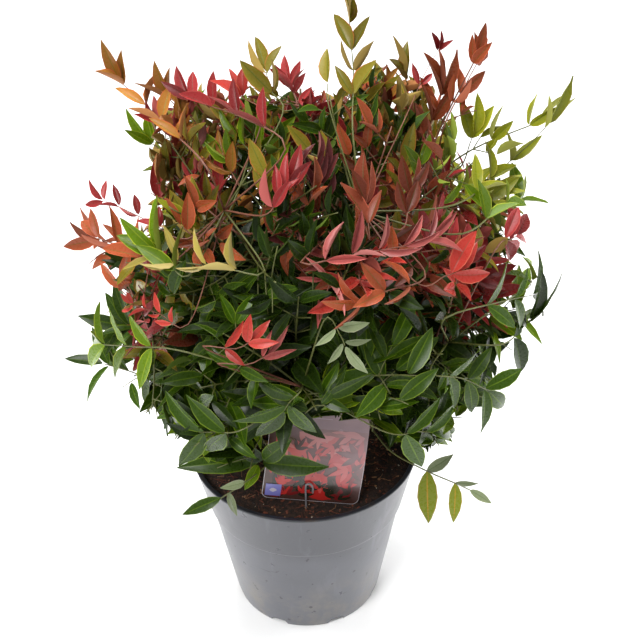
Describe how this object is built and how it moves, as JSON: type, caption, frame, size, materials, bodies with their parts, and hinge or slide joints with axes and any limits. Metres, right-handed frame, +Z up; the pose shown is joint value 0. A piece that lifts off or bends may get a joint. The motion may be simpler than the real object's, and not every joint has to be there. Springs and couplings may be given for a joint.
{
  "type": "potted heavenly bamboo shrub",
  "caption": "Dwarf heavenly bamboo with green, bronze and coral-red compound leaves on slender canes, in a round tapering grey nursery pot with a plant label.",
  "frame": {"origin": "middle of the flat underside of the pot", "axes": "+Z up along the pot's axis; -Y is the front, the side the label faces; +X is to the right seen from the front"},
  "size_m": [0.4239, 0.3865, 0.5709],
  "materials": {
    "pot_grey": "satin moulded plastic",
    "soil": "damp peat and composted bark",
    "label_card": "printed glossy card",
    "peg_black": "thin black plastic",
    "cane_bark": "rough bark",
    "bough_stalk": "smooth green-brown stalk",
    "leaf_green": "glossy dark green leaf",
    "leaf_olive": "glossy olive leaf",
    "leaf_bronze": "glossy bronze red leaf",
    "leaf_coral": "glossy coral leaf",
    "leaf_dark": "shaded dark green leaf"
  },
  "bodies": {
    "root": {"pot": "pot_grey", "soil": "soil", "plant_label": "label_card", "label_peg": "peg_black", "cane_1": "cane_bark", "cane_2": "cane_bark", "cane_3": "cane_bark", "cane_4": "cane_bark", "cane_5": "cane_bark", "cane_6": "cane_bark", "cane_middle": "cane_bark", "bough_low_1": "bough_stalk", "bough_low_2": "bough_stalk", "bough_low_3": "bough_stalk", "bough_low_4": "bough_stalk", "bough_low_5": "bough_stalk", "bough_low_6": "bough_stalk", "bough_middle_1": "bough_stalk", "bough_middle_2": "bough_stalk", "bough_middle_3": "bough_stalk", "bough_middle_4": "bough_stalk", "bough_middle_5": "bough_stalk", "bough_middle_6": "bough_stalk", "bough_core": "bough_stalk", "foliage_low_1": "leaf_green", "foliage_low_2": "leaf_green", "foliage_low_3": "leaf_green", "foliage_low_4": "leaf_green", "foliage_low_5": "leaf_green", "foliage_low_6": "leaf_green", "foliage_middle_1": "leaf_olive", "foliage_middle_2": "leaf_olive", "foliage_middle_3": "leaf_olive", "foliage_middle_4": "leaf_olive", "foliage_middle_5": "leaf_olive", "foliage_middle_6": "leaf_olive", "foliage_high_1": "leaf_bronze", "foliage_high_2": "leaf_bronze", "foliage_high_3": "leaf_bronze", "foliage_high_4": "leaf_bronze", "foliage_high_5": "leaf_bronze", "foliage_high_6": "leaf_bronze", "foliage_core": "leaf_dark", "foliage_top": "leaf_coral"}
  },
  "joints": []
}
